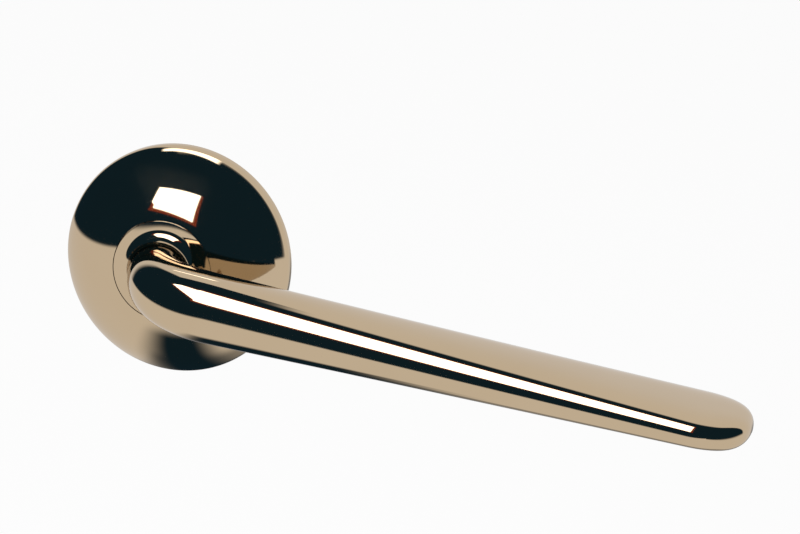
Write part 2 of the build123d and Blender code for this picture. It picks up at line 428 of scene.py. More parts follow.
def bar(name, radius, length, sides, place):
    """Round or many-sided bar that runs from a place along the place's own Z."""
    bm = bmesh.new()
    middle = place @ Matrix.Translation((0, 0, length / 2))
    bmesh.ops.create_cone(
        bm, cap_ends=True, segments=sides, radius1=radius, radius2=radius, depth=length, matrix=middle
    )
    return as_object(bm, name)


def block(name, low, high):
    """Plain block between two corners."""
    bm = bmesh.new()
    low, high = Vector(low), Vector(high)
    place = Matrix.Translation((low + high) / 2) @ Matrix.Diagonal((*(high - low), 1))
    bmesh.ops.create_cube(bm, size=1, matrix=place)
    return as_object(bm, name)


def square_bar(name, half, near, far):
    """Square bar on the spindle's axis, between two places along Y."""
    return block(name, (-half, near, -half), (half, far, half))


def plain_ring(inner, outer, back, front, steps=LATHE_STEPS):
    """Bmesh of a ring between two radii and two heights."""
    return turned(((inner, back), (outer, back), (outer, front), (inner, front)), steps)


def washer(name, node, inner, rounding, material, steps=LATHE_STEPS):
    """Ring with the outer radius and the faces of its solid, and rounded edges."""
    low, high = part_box(node)
    bm = plain_ring(inner, high.x, -high.y, -low.y, steps)
    round_edges(bm, rounding)
    dress(as_object(bm, name), node, material)


print("bars, blocks and rings ready")

# %% [markdown]
# ## The rose
# The rose is a hollow dome that hides the hole in the wall. Its outer face is one arc from the seam round the
# handle's foot to the rim, with a soft shoulder, and the foot lies flush in a round recess inside that seam.
# It could be cut from a ball, but a spun section gives perfectly round highlights, which a faceted solid
# can't, and holds the recess and the hollow back as well. The pocket for the bush's head has two flats, so it
# is cut afterwards.

# %% Rose: sizes
rose_low, rose_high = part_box("rose")
gasket_low, gasket_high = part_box("gasket")
rose_radius = rose_high.x
dome_height = -rose_low.y
dome_radius = 24.0 * mm
gasket_proud = -rose_high.y
gasket_thickness = -gasket_low.y
rim_rise = 2.0 * mm
rim_height = gasket_proud + rim_rise
shoulder_radius = 3.0 * mm
seam_radius = 10.95 * mm
recess_depth = 1.2 * mm
recess_floor = dome_height - recess_depth
rebate_clearance = 0.2 * mm
rebate_radius = gasket_high.x + rebate_clearance
rebate_lip = 1.6 * mm
cavity_radius = rebate_radius - rebate_lip
rose_wall = 2.2 * mm
hub_radius = 12.55 * mm
pocket_radius = 10.1 * mm
pocket_flat = 9.0 * mm
pocket_depth = 3.0 * mm
tail_hole_radius = 8.4 * mm
print("rose", round(2 * rose_radius / mm, 1), "mm across and", round(dome_height / mm, 1), "mm high")

# %% Rose: section
DOME_STEPS = 160


def circle_through(first, second, radius):
    """Centre of the circle of a radius through two points, on the side towards the axis."""
    run = first[0] - second[0]
    rise = second[1] - first[1]
    chord = sqrt(run**2 + rise**2)
    back = sqrt(radius**2 - chord**2 / 4) / chord
    return (first[0] + second[0]) / 2 - rise * back, (first[1] + second[1]) / 2 - run * back


dome_centre = circle_through((rose_radius, rim_height), (seam_radius, dome_height), dome_radius)


def dome_at(radius, inset):
    """Height of the dome, or of the surface that lies inset below it, at a radius."""
    return dome_centre[1] + sqrt((dome_radius - inset) ** 2 - (radius - dome_centre[0]) ** 2)


def draw_rose():
    bend_radius = rose_radius - shoulder_radius
    bend_height = dome_at(bend_radius, shoulder_radius)
    lean = atan2(bend_height - dome_centre[1], bend_radius - dome_centre[0])
    shoulder = bend_radius + shoulder_radius * cos(lean), bend_height + shoulder_radius * sin(lean)
    pen = Pen(rose_radius, gasket_proud)
    pen.line((rose_radius, bend_height))
    pen.arc((bend_radius, bend_height), *shoulder, steps=10)
    pen.arc(dome_centre, seam_radius, dome_height, steps=48)
    pen.line(
        (seam_radius, recess_floor),
        (tail_hole_radius, recess_floor),
        (tail_hole_radius, gasket_thickness),
        (hub_radius, gasket_thickness),
        (hub_radius, dome_at(hub_radius, rose_wall)),
    )
    pen.arc(dome_centre, cavity_radius, dome_at(cavity_radius, rose_wall), steps=24)
    pen.line(
        (cavity_radius, gasket_thickness),
        (rebate_radius, gasket_thickness),
        (rebate_radius, gasket_proud),
    )
    pen.close()
    return pen.spin(DOME_STEPS)


rose = as_object(draw_rose(), "domed_rose")
print("rose spun with", len(rose.data.polygons), "faces")

# %% Rose: pocket for the bush's head
OVERSHOOT = 1.0 * mm
WIDE_STEPS = 128


def flatted_bar(name, radius, flat, low, high):
    """Bar on the spindle's axis with two flats, between two heights."""
    round_bar = bar(name, radius, high - low, WIDE_STEPS, Matrix.Translation((0, -high, 0)) @ ALONG_Y)
    carve(round_bar, block("flats", (-radius, -2 * high, -flat), (radius, high, flat)), "INTERSECT")
    return round_bar


pocket_floor = recess_floor - pocket_depth
carve(rose, flatted_bar("pocket", pocket_radius, pocket_flat, pocket_floor, dome_height + OVERSHOOT))
dress(rose, "rose", nickel)

# %% [markdown]
# ## The handle
# The handle is one casting: a flat round foot, a small cove, a neck that bends through a quarter turn, and a
# bar that gets wider and thinner until it ends in a round-ended paddle. Sculpting it would lose the even
# taper that makes its highlights run straight, so rings of points are set across a centre line and bridged.
# Each ring starts as a circle and is pushed into an oval whose flat sides grow towards the tip. The oval is
# widest a little below its middle, which is what tips the long bright line on the front face upwards. Two
# rings in one plane could be bridged crosswise, so the flat foot slopes by a hair.

# %% Handle: sizes
lever_low, lever_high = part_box("lever")
foot_height = -lever_high.y
seam_closing = 0.08 * mm
foot_radius = -lever_low.x + seam_closing
handle_reach = lever_high.x
plate_thickness = 0.8 * mm
plate_edge = 0.15 * mm
plate_slope = 0.02 * mm
cove_start = radians(4)
cove_radius = 2.8 * mm
neck_radius = 6.3 * mm
elbow_radius = 16.95 * mm
bar_half_width = 8.1 * mm
bar_half_depth = 6.95 * mm
paddle_half_width = 12.8 * mm
paddle_half_depth = 3.25 * mm
tip_length = 11.0 * mm
tip_squareness = 2.0
edge_squareness = 6.0
round_fullness = 0.5523
bar_fullness = 0.69
paddle_fullness = 0.83
belly_share = 0.30
elbow_length = elbow_radius * pi / 2
bar_length = handle_reach - elbow_radius
handle_length = elbow_length + bar_length
cove_length = cove_radius * cos(cove_start)
bend_length = elbow_length - cove_length
print("handle", round(handle_length / mm, 1), "mm long on its centre line")

# %% Handle: sections along the centre line


def between(start, end, share):
    return start + (end - start) * share


def eased(start, end, far_end, share):
    """From a level start to an end that already slopes as the bar does, so that reflections run on."""
    slope = (far_end - end) * bend_length / bar_length
    return between(start, end, share**2 * (3 - 2 * share)) + slope * share**2 * (share - 1)


def section_frame(travel):
    """Matrix that carries the XY plane to the handle's centre line at a distance from the foot plate."""
    turn = min(max(travel / elbow_radius, 0), pi / 2)
    straight = max(travel - elbow_length, 0)
    height = foot_height + plate_thickness + elbow_radius * sin(turn) + min(travel, 0)
    centre = Vector((elbow_radius * (1 - cos(turn)) + straight, -height, 0))
    wallward = Vector((cos(turn), sin(turn), 0))
    along = Vector((sin(turn), -cos(turn), 0))
    axes = Matrix((wallward, along.cross(wallward), along)).transposed()
    return Matrix.Translation(centre) @ axes.to_4x4()


def section_size(travel):
    """Half width, half depth, fullness and belly of the section at a distance from the foot plate."""
    if travel < cove_length:
        slope = acos(cos(cove_start) - travel / cove_radius)
        radius = neck_radius + cove_radius * (1 - sin(slope))
        return radius, radius, round_fullness, 0
    if travel < elbow_length:
        bend = (travel - cove_length) / bend_length
        return (
            eased(neck_radius, bar_half_width, paddle_half_width, bend),
            eased(neck_radius, bar_half_depth, paddle_half_depth, bend),
            eased(round_fullness, bar_fullness, paddle_fullness, bend),
            eased(0, belly_share, belly_share, bend),
        )
    taper = (travel - elbow_length) / bar_length
    into_tip = max(1 - (handle_length - travel) / tip_length, 0)
    plan_round = (1 - into_tip**tip_squareness) ** (1 / tip_squareness)
    edge_round = sqrt(1 - into_tip**edge_squareness)
    return (
        between(bar_half_width, paddle_half_width, taper) * plan_round,
        between(bar_half_depth, paddle_half_depth, taper) * edge_round,
        between(bar_fullness, paddle_fullness, taper),
        belly_share,
    )


print("half width and depth at the elbow's end:", [round(v / mm, 2) for v in section_size(elbow_length)[:2]])

# %% Handle: rings, bridged


def quarter(share, fullness):
    """Point of a unit quarter oval, as a cubic curve, from its side to its crown."""
    rest = 1 - share
    across = rest**3 + 3 * rest**2 * share + 3 * rest * share**2 * fullness
    up = 3 * rest**2 * share * fullness + 3 * rest * share**2 + share**3
    return across, up


def edges_at(verts):
    """Edges of a ring of points that has just been made."""
    return list({edge for vert in verts for edge in vert.link_edges})


def section_ring(bm, travel, size, segments):
    """Ring of edges of a section of some size, at a distance from the foot plate."""
    half_width, half_depth, fullness, belly = size
    widest = -belly * half_depth
    ring = bmesh.ops.create_circle(bm, segments=segments, radius=1)["verts"]
    for index, vert in enumerate(ring):
        corner, share = divmod(4 * index / segments, 1)
        across, up = quarter(1 - share if corner % 2 else share, fullness)
        side = 1 if corner in (0, 3) else -1
        crown = half_depth if corner < 2 else -half_depth
        vert.co = Vector((side * across * half_width, between(widest, crown, up), 0))
    bmesh.ops.transform(bm, matrix=section_frame(travel), verts=ring)
    return edges_at(ring)


def model_handle(stations=150, cove_steps=16, edge_steps=4, segments=96):
    bm = bmesh.new()
    plate = [(-plate_thickness, foot_radius)]
    for step in range(edge_steps + 1):
        turn = pi / 2 * step / edge_steps
        travel = plate_edge * (sin(turn) - 1) - plate_slope
        plate.append((travel, foot_radius + plate_edge * (cos(turn) - 1)))
    rings = []
    for travel, radius in plate:
        rings.append(section_ring(bm, travel, (radius, radius, round_fullness, 0), segments))
    travels = []
    for step in range(cove_steps):
        slope = between(cove_start, pi / 2, step / cove_steps)
        travels.append(cove_radius * (cos(cove_start) - cos(slope)))
    for station in range(stations):
        share = (1 - cos(pi * station / stations)) / 2
        travels.append(between(cove_length, handle_length, share))
    rings += [section_ring(bm, travel, section_size(travel), segments) for travel in travels]
    for near, far in zip(rings, rings[1:]):
        bmesh.ops.bridge_loops(bm, edges=near + far)
    bmesh.ops.holes_fill(bm, edges=rings[0], sides=0)
    tip_face = bmesh.ops.holes_fill(bm, edges=rings[-1], sides=0)["faces"]
    tip_point = bmesh.ops.poke(bm, faces=tip_face)["verts"][0]
    tip_point.co = section_frame(handle_length).translation
    return bm


handle = as_object(model_handle(), "cast_handle")
print("handle cast with", len(handle.data.polygons), "faces")

# %% [markdown]
# ## Socket and screw hole
# The spindle's square end goes into the foot, and a set screw under the neck holds it there. Both holes are a
# hair larger than what they take. They could be gaps between the rings, but cut out of the finished casting
# they leave its rings even. The rim of the screw hole stays crisp, because the plater masks it rather than
# buffs it.

# %% Cut the handle's holes
HOLE_SIDES = 64
UPSIDE_DOWN = Matrix.Rotation(pi, 4, "X")
square_half = 3.5 * mm
socket_half = 3.55 * mm
socket_depth = 8.2 * mm
screw_radius = 2.5 * mm
screw_length = 2.6 * mm
screw_hole_radius = 2.55 * mm
screw_hole_overlap = 0.5 * mm
screw_setback = 5.0 * mm
lever_screw_y = -foot_height - screw_setback

socket_end = -foot_height - socket_depth
carve(handle, square_bar("socket", socket_half, socket_end, -foot_height + OVERSHOOT))
hole_start = Matrix.Translation((0, lever_screw_y, -square_half + screw_hole_overlap)) @ UPSIDE_DOWN
carve(handle, bar("screw_hole", screw_hole_radius, foot_radius, HOLE_SIDES, hole_start))
dress(handle, "lever", nickel)

# %% [markdown]
# ## Tail bush
# The bush goes through the rose and the wall. Its head is turned, with two flats milled on it, and its tail
# carries a pipe thread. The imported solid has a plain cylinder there, as thick as the crests. A row of rings
# would pass for a thread from far off, but a real thread is a zigzag spun one turn while it climbs by one
# pitch: the end of each turn then meets the start of the next, and merging the doubles makes one long ridge.
# Both ends are cut square and closed onto the bore.

# %% Tail bush: sizes
bush_low, bush_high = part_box("tail_bush")
head_front = -bush_low.y
head_thickness = 2.5 * mm
head_back = head_front - head_thickness
head_radius = 10.0 * mm
head_flat = bush_high.z
head_rounding = 0.2 * mm
tail_end = -bush_high.y
tail_chamfer = 0.8 * mm
bore_radius = 5.04 * mm
crest_radius = 8.3 * mm
root_radius = 7.45 * mm
thread_start = 0.5 * mm
thread_pitch = 1.337 * mm
print("thread", round((thread_start - tail_end) / mm, 1), "mm long")

# %% Tail bush: thread
THREAD_FORM = ((root_radius, 0.12), (crest_radius, 0.44), (crest_radius, 0.56), (root_radius, 0.88))
TURN_MERGE_DISTANCE = 0.005 * mm
LEVEL_TOLERANCE = 0.01 * mm


def thread_profile():
    """Zigzag along the tail, one pitch longer than the thread at each end."""
    height = thread_start + thread_pitch
    pen = Pen(root_radius, height)
    while height > tail_end - thread_pitch:
        for radius, share in THREAD_FORM:
            pen.line((radius, height - share * thread_pitch))
        height -= thread_pitch
        pen.line((root_radius, height))
    return pen.bm


def lies_level(edge, height):
    return all(abs(vert.co.y + height) < LEVEL_TOLERANCE for vert in edge.verts)


def close_end(bm, height, outward):
    """Cuts the thread square at a height and closes it onto the bore; gives the bore's ring."""
    level = Vector((0, -height, 0))
    whole = [*bm.verts, *bm.edges, *bm.faces]
    bmesh.ops.bisect_plane(bm, geom=whole, dist=0, plane_co=level, plane_no=outward, clear_outer=True)
    rim = [edge for edge in bm.edges if edge.is_boundary and lies_level(edge, height)]
    bore_place = Matrix.Translation(level) @ ALONG_Y
    circle = bmesh.ops.create_circle(bm, segments=LATHE_STEPS, radius=bore_radius, matrix=bore_place)
    ring = edges_at(circle["verts"])
    bmesh.ops.bridge_loops(bm, edges=rim + ring)
    return ring


def chamfer_tail(bm):
    """Pulls in the crests that stand out past the chamfer at the end of the tail."""
    for vert in bm.verts:
        from_end = -vert.co.y - tail_end
        radius = sqrt(vert.co.x**2 + vert.co.z**2)
        most = crest_radius - max(tail_chamfer - from_end, 0)
        if radius > most:
            vert.co.x *= most / radius
            vert.co.z *= most / radius


def cut_thread():
    bm = thread_profile()
    bmesh.ops.spin(
        bm,
        geom=[*bm.verts, *bm.edges],
        axis=(0, 1, 0),
        cent=(0, 0, 0),
        dvec=(0, thread_pitch / LATHE_STEPS, 0),
        angle=2 * pi,
        steps=LATHE_STEPS,
    )
    bmesh.ops.remove_doubles(bm, verts=bm.verts, dist=TURN_MERGE_DISTANCE)
    front = close_end(bm, thread_start, (0, -1, 0))
    back = close_end(bm, tail_end, (0, 1, 0))
    bmesh.ops.bridge_loops(bm, edges=front + back)
    chamfer_tail(bm)
    return as_object(bm, "tail_thread")


thread = cut_thread()
print("thread cut with", len(thread.data.polygons), "faces")

# %% Tail bush: head, joined to the thread
head_section = (
    (bore_radius, thread_start),
    (crest_radius, thread_start),
    (crest_radius, head_back),
    (head_radius, head_back),
    (head_radius, head_front),
    (bore_radius, head_front),
)
tail_bush = as_object(turned(head_section), "threaded_bush")
head_flats = flatted_bar("head_flats", 2 * head_radius, head_flat, -thread_start, 2 * head_front)
carve(tail_bush, head_flats, "INTERSECT")
bush_mesh = bmesh.new()
bush_mesh.from_mesh(tail_bush.data)
round_edges(bush_mesh, head_rounding)
bush_mesh.from_mesh(thread.data)
bush_mesh.to_mesh(tail_bush.data)
bush_mesh.free()
bpy.data.objects.remove(thread)
dress(tail_bush, "tail_bush", turned_brass)

# %% [markdown]
# ## Backnut
# A backnut is hexagon bar, faced and chamfered on the lathe. A bevelled prism would have straight chamfers,
# so it is turned first, with its corners taken off at the back, and then trimmed by the hexagon, which leaves
# the curved chamfer line on each flat.

# %% Backnut
HEXAGON = 6
NUT_STEPS = 120
nut_low, nut_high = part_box("backnut")
nut_front = -nut_low.y
nut_back = -nut_high.y
nut_corner = nut_high.x
nut_blank = nut_corner * 1.01
nut_half_flats = nut_high.z
nut_bore = 8.35 * mm
nut_chamfer = 1.2 * mm
nut_lead_in = 0.6 * mm

nut_section = (
    (nut_bore, nut_front - nut_lead_in),
    (nut_bore + nut_lead_in, nut_front),
    (nut_blank, nut_front),
    (nut_blank, nut_back + nut_chamfer),
    (nut_half_flats, nut_back),
    (nut_bore + nut_lead_in, nut_back),
    (nut_bore, nut_back + nut_lead_in),
)
backnut = as_object(turned(nut_section, NUT_STEPS), "backnut_hexagon")
hexagon_start = Matrix.Translation((0, -nut_front - OVERSHOOT, 0)) @ ALONG_Y
hexagon_length = nut_front - nut_back + 2 * OVERSHOOT
carve(backnut, bar("hexagon", nut_corner, hexagon_length, HEXAGON, hexagon_start), "INTERSECT")
soften(backnut, width=0.25 * mm)
dress(backnut, "backnut", turned_brass)

# %% [markdown]
# ## Washers
# Four plain rings: the rubber gasket that seals the rose to the wall, the plastic washer under the nut, the
# plastic one that the handle turns on, and a thin steel one behind the clip. A hole cut in a disc would do,
# but a spun section is already a ring. Stamped and moulded rings have no knife edges, so each gets a small
# round.

# %% Washers
over_tail = 8.5 * mm
over_journal = 5.2 * mm
thick_rounding = 0.35 * mm
thin_rounding = 0.15 * mm

washer("rubber_gasket", "gasket", over_tail, thick_rounding, rubber, WIDE_STEPS)
washer("clamp_ring", "clamp_washer", over_tail, thick_rounding, plastic)
washer("thrust_ring", "thrust_washer", over_journal, thin_rounding, plastic)
washer("spindle_ring", "spindle_washer", over_journal, thin_rounding, zinc_steel)

# %% [markdown]
# ## Spindle
# The spindle is round bar with a groove for the clip, milled square at both ends. A spun section can't be
# square, so the square ends are blocks that are joined to the turned journal, and all its edges are broken
# as a machinist would.

# %% Spindle
spindle_low, spindle_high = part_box("spindle")
clip_low, clip_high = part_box("retaining_clip")
clip_front = -clip_low.y
clip_back = -clip_high.y
journal_radius = spindle_high.x
journal_proud = 0.8 * mm
journal_front = head_front + journal_proud
journal_land = 1.0 * mm
journal_end = clip_back - journal_land
groove_depth = 0.8 * mm
groove_radius = journal_radius - groove_depth

pen = Pen(0, journal_end)
pen.line(
    (journal_radius, journal_end),
    (journal_radius, clip_back),
    (groove_radius, clip_back),
    (groove_radius, clip_front),
    (journal_radius, clip_front),
    (journal_radius, journal_front),
    (0, journal_front),
)
spindle = as_object(pen.spin(), "turned_spindle")
for name, near, far in (
    ("front_square", spindle_low.y, -journal_front + OVERSHOOT),
    ("rear_square", -journal_end - OVERSHOOT, spindle_high.y),
):
    carve(spindle, square_bar(name, square_half, near, far), "UNION")
soften(spindle, width=0.3 * mm)
dress(spindle, "spindle", zinc_steel)

# %% [markdown]
# ## Retaining clip
# An open ring of spring steel is pushed over the groove from above. It could be wire bent along a curve, but
# such clips are stamped from sheet, so it is a turned ring with square edges and a slot cut out below.

# %% Retaining clip
clip_clearance = 0.04 * mm
clip_inner = groove_radius + clip_clearance
clip_slot = 3.6 * mm

clip = as_object(plain_ring(clip_inner, clip_high.x, clip_back, clip_front), "spring_clip")
slot_low = (-clip_slot, -clip_front - OVERSHOOT, -2 * clip_high.x)
slot_high = (clip_slot, -clip_back + OVERSHOOT, 0)
carve(clip, block("clip_slot", slot_low, slot_high))
soften(clip, width=0.12 * mm)
dress(clip, "retaining_clip", black_steel)

# %% [markdown]
# ## Lift arm
# The arm is a boss with a flat plate that hangs down behind the wall. The tangent sides of the plate could be
# worked out, but the hull operator gives them for nothing: it stretches a skin round the rims of two discs.
# The boss is joined to the plate, and then the square hole, the two link holes and the hole for the set screw
# are cut.

# %% Lift arm: plate
FLAT_ANGLE = radians(0.5)
arm_low, arm_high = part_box("lift_arm")
boss_front = -arm_low.y
boss_back = -arm_high.y
boss_radius = arm_high.x
arm_thickness = 3.0 * mm
arm_reach = 31.0 * mm
arm_end_radius = 6.0 * mm
arm_direction = radians(220)


def on_arm(reach, height):
    """Place on the arm's middle line, at a height, that looks along the spindle."""
    return Matrix.Translation((reach * cos(arm_direction), -height, reach * sin(arm_direction))) @ ALONG_Y


def arm_plate():
    bm = bmesh.new()
    for reach, radius in ((0, boss_radius), (arm_reach, arm_end_radius)):
        for height in (boss_back, boss_back + arm_thickness):
            bmesh.ops.create_circle(bm, segments=LATHE_STEPS, radius=radius, matrix=on_arm(reach, height))
    bmesh.ops.convex_hull(bm, input=bm.verts)
    bmesh.ops.dissolve_limit(bm, angle_limit=FLAT_ANGLE, verts=bm.verts, edges=bm.edges)
    return as_object(bm, "lift_arm_casting")


lift_arm = arm_plate()
print("arm plate made with", len(lift_arm.data.polygons), "faces")

# %% Lift arm: boss and holes
link_hole_radius = 2.6 * mm
link_hole_pitch = 9.0 * mm
arm_screw_y = -(boss_front + boss_back) / 2

boss = bar("boss", boss_radius, boss_front - boss_back, LATHE_STEPS, on_arm(0, boss_front))
carve(lift_arm, boss, "UNION")
hole_ends = -boss_front - OVERSHOOT, -boss_back + OVERSHOOT
carve(lift_arm, square_bar("square_hole", socket_half, *hole_ends))
for reach in (arm_reach, arm_reach - link_hole_pitch):
    start = on_arm(reach, boss_back + 2 * arm_thickness)
    carve(lift_arm, bar("link_hole", link_hole_radius, 3 * arm_thickness, HOLE_SIDES, start))
hole_start = Matrix.Translation((0, arm_screw_y, square_half - screw_hole_overlap))
carve(lift_arm, bar("screw_hole", screw_hole_radius, boss_radius, HOLE_SIDES, hole_start))
soften(lift_arm, width=0.3 * mm)
dress(lift_arm, "lift_arm", milled_brass)

# %% [markdown]
# ## Set screws
# Both set screws are short threaded plugs with a hexagon key hole. A thread could be spun on them as on the
# bush, but they sit below the surface, so a bar with its key hole and broken edges is all that can be seen.

# %% Set screws
key_across_flats = 2.5 * mm
key_radius = key_across_flats / sqrt(3)
key_depth = 1.5 * mm


def set_screw(name, node, place):
    """Plug that runs from its point outwards along the place's Z."""
    screw = bar(name, screw_radius, screw_length, HOLE_SIDES, place)
    key_floor = place @ Matrix.Translation((0, 0, screw_length - key_depth))
    carve(screw, bar("key_hole", key_radius, screw_length, HEXAGON, key_floor))
    soften(screw, width=0.15 * mm)
    dress(screw, node, black_steel)


below_spindle = Matrix.Translation((0, lever_screw_y, -square_half)) @ UPSIDE_DOWN
above_spindle = Matrix.Translation((0, arm_screw_y, square_half))
set_screw("handle_set_screw", "lever_grub_screw", below_spindle)
set_screw("arm_set_screw", "arm_grub_screw", above_spindle)

# %% [markdown]
# ## Camera
# The photograph looks at the lever from the front, a little from the right and from above, with the lever
# rolled clockwise in the frame. The lens is long, so the far end of the handle hardly shrinks. A shifted lens
# could put the lever in its place in the frame, but here the aim point is put at its pixel by turning the
# camera, as a photographer would.

# %% Camera
AZIMUTH = radians(12.0)
ELEVATION = radians(17.4)
ROLL = radians(9.08)
DISTANCE = 0.65
NEAR_CLIP = 0.01
AIM = Vector((50.0, -20.0, 0.0)) * mm
AIM_PIXEL = (379.0, 330.3)
FOCAL_PIXELS = 3146.0
SENSOR_WIDTH = 36.0
IMAGE_WIDTH, IMAGE_HEIGHT = 800, 534


def make_camera():
    back = Vector((sin(AZIMUTH) * cos(ELEVATION), -cos(AZIMUTH) * cos(ELEVATION), sin(ELEVATION)))
    level = Vector((cos(AZIMUTH), sin(AZIMUTH), 0))
    right = cos(ROLL) * level + sin(ROLL) * back.cross(level)
    up = back.cross(right)
    across = (IMAGE_WIDTH / 2 - AIM_PIXEL[0]) / FOCAL_PIXELS
    down = (IMAGE_HEIGHT / 2 - AIM_PIXEL[1]) / FOCAL_PIXELS
    backward = (back - across * right + down * up).normalized()
    right = (right - right.dot(backward) * backward).normalized()
    axes = Matrix((right, backward.cross(right), backward)).transposed()
    made = bpy.data.objects.new("camera", bpy.data.cameras.new("camera"))
    made.data.sensor_width = SENSOR_WIDTH
    made.data.lens = FOCAL_PIXELS / IMAGE_WIDTH * SENSOR_WIDTH
    made.data.clip_start = NEAR_CLIP
    made.matrix_world = Matrix.Translation(AIM + DISTANCE * back) @ axes.to_4x4()
    bpy.context.scene.collection.objects.link(made)
    bpy.context.scene.camera = made
    return made


camera = make_camera()
print("camera lens", round(camera.data.lens, 1), "mm")

# %% [markdown]
# ## Studio
# Polished metal is drawn by what stands round it. Here that is a white room, and in the next two steps a dark
# tent with one softbox and a few cards. They could be real lamps and screens, but those would also change how
# bright the plain pieces are. Seen by mirrors only, they shape the reflections and leave the plain, soft
# light of the room alone. A long way below, a pale floor takes the shadow.

# %% Room
SKY_LIGHT = 0.85

scene = bpy.context.scene
scene.view_settings.view_transform = "Standard"


def to_the_eye(finish):
    """1 for rays that the camera sees, straight, mirrored or through glass, and 0 for those that light."""
    camera_ray = finish.node("ShaderNodeLightPath", output="Is Camera Ray")
    glossy_ray = finish.node("ShaderNodeLightPath", output="Is Glossy Ray")
    clear_ray = finish.node("ShaderNodeLightPath", output="Is Transmission Ray")
    return camera_ray | glossy_ray | clear_ray


room = Finish(bpy.data.worlds.new("white_room"))
scene.world = room.owner
strength = SKY_LIGHT + (1 - SKY_LIGHT) * to_the_eye(room)
shine = room.node("ShaderNodeBackground", inputs={"Color": opaque(WHITE), "Strength": strength})
room.node("ShaderNodeOutputWorld", inputs={"Surface": shine})
print("room lights with", SKY_LIGHT, "and looks white")

# %% Floor
FLOOR_HEIGHT = -0.32
FLOOR_HALF_WIDTH = 5.0
PAPER = (0.93, 0.93, 0.93)
PAPER_WHITE = 0.8
PLAIN_GLOW = 1.0


def pale_floor():
    """White paper: it takes the shadow, and the camera sees it a good deal nearer to plain white."""
    finish = Finish(bpy.data.materials.new("pale_floor"))
    paper = finish.node("ShaderNodeBsdfDiffuse", inputs={"Color": opaque(PAPER)})
    white = finish.node("ShaderNodeEmission", inputs={"Color": opaque(WHITE), "Strength": PLAIN_GLOW})
    share = PAPER_WHITE * to_the_eye(finish)
    both = finish.node("ShaderNodeMixShader", inputs={0: share, 1: paper, 2: white})
    finish.node("ShaderNodeOutputMaterial", inputs={"Surface": both})
    return finish.owner


floor_mesh = bmesh.new()
floor_place = Matrix.Translation((0, 0, FLOOR_HEIGHT))
bmesh.ops.create_grid(floor_mesh, x_segments=1, y_segments=1, size=FLOOR_HALF_WIDTH, matrix=floor_place)
floor = as_object(floor_mesh, "floor")
floor.data.materials.append(pale_floor())
floor.visible_glossy = False
print("floor laid at", FLOOR_HEIGHT, "m")

# %% Lamp
LAMP_POWER = 9.0
LAMP_SIZE = 1.2
LAMP_PLACE = Vector((-0.5, -1.0, 1.3))

lamp = bpy.data.objects.new("key_lamp", bpy.data.lights.new("key_lamp", "AREA"))
lamp.data.size = LAMP_SIZE
lamp.data.energy = LAMP_POWER
facing_lever = LAMP_PLACE.to_track_quat("Z", "Y").to_matrix().to_4x4()
lamp.matrix_world = Matrix.Translation(LAMP_PLACE) @ facing_lever
lamp.visible_glossy = False
scene.collection.objects.link(lamp)
print("lamp hung", round(LAMP_PLACE.length, 2), "m from the lever")

# %% [markdown]
# ## Tent
# The tent is a sphere whose dark cloth fades out where the room should be seen: behind the lever, and below
# the table's edge. Flat screens could stand there instead, but a mask that is worked out from the direction
# of each point has soft edges wherever they are wanted. The cloth reaches further round on the left than on
# the right, and the table is not quite level, which is why the two ends of the dark half of the rose are at
# different heights. A fainter dark band, behind and below, is painted shade that stands for the shade under
# the lever, and it draws the fine dark line along the handle's lower edge.

# %% Cards that only mirrors see


def mirror_card(bm, name, material):
    """Studio piece that only shows in reflections."""
    card = as_object(bm, name)
    card.data.materials.append(material)
    card.visible_camera = card.visible_diffuse = card.visible_shadow = card.visible_transmission = False
    return card


def masked_glow(finish, mask, colour, glow):
    """Glow where the mask is 1, and nothing at all where it is 0."""
    clear = finish.node("ShaderNodeBsdfTransparent")
    light = finish.node("ShaderNodeEmission", inputs={"Color": opaque(colour), "Strength": glow})
    both = finish.node("ShaderNodeMixShader", inputs={0: mask, 1: clear, 2: light})
    finish.node("ShaderNodeOutputMaterial", inputs={"Surface": both})
    return finish.owner


print("ready to hang cards for mirrors")

# %% Tent
TENT_RADIUS = 1.6
TENT_TILT = radians(6.4)
TENT_SEGMENTS, TENT_RINGS = 96, 48
DARK_CLOTH = (0.008, 0.027, 0.050)
CLOTH_REACH, CLOTH_BLUR = 0.07, 0.07
LEFT_REACH = 0.5
TABLE_EDGE, TABLE_BLUR = sin(radians(-4.7)), 0.02
PAINTED_SHADE_SHARE = 0.6


def tent_cloth():
    finish = Finish(bpy.data.materials.new("tent_cloth"))
    place = finish.node("ShaderNodeTexCoord", output="Object")
    way = finish.node("ShaderNodeVectorMath", {"operation": "NORMALIZE"}, {0: place})
    right, behind, up = (
        finish.node("ShaderNodeSeparateXYZ", inputs={0: way}, output=axis) for axis in "XYZ"
    )
    left_side = fade(finish, 0 - right, low=0.25, high=0.6)
    in_front = fade(finish, CLOTH_REACH - behind + LEFT_REACH * left_side, low=-CLOTH_BLUR, high=CLOTH_BLUR)
    above_table = fade(finish, up, low=TABLE_EDGE - TABLE_BLUR, high=TABLE_EDGE + TABLE_BLUR)
    # Painted shade: a faint dark band behind and below stands for the shade under the lever.
    low_behind = fade(finish, behind, low=0.0, high=0.3) * fade(finish, 0 - up, low=0.1, high=0.3)
    painted_shade_band = low_behind * fade(finish, right * right, low=0.2, high=0.1)
    mask = above_table * in_front | PAINTED_SHADE_SHARE * painted_shade_band
    return masked_glow(finish, mask, DARK_CLOTH, PLAIN_GLOW)


tent_mesh = bmesh.new()
bmesh.ops.create_uvsphere(tent_mesh, u_segments=TENT_SEGMENTS, v_segments=TENT_RINGS, radius=TENT_RADIUS)
tent = mirror_card(tent_mesh, "dark_tent", tent_cloth())
tent.rotation_euler = (0, -TENT_TILT, 0)
print("tent hung")
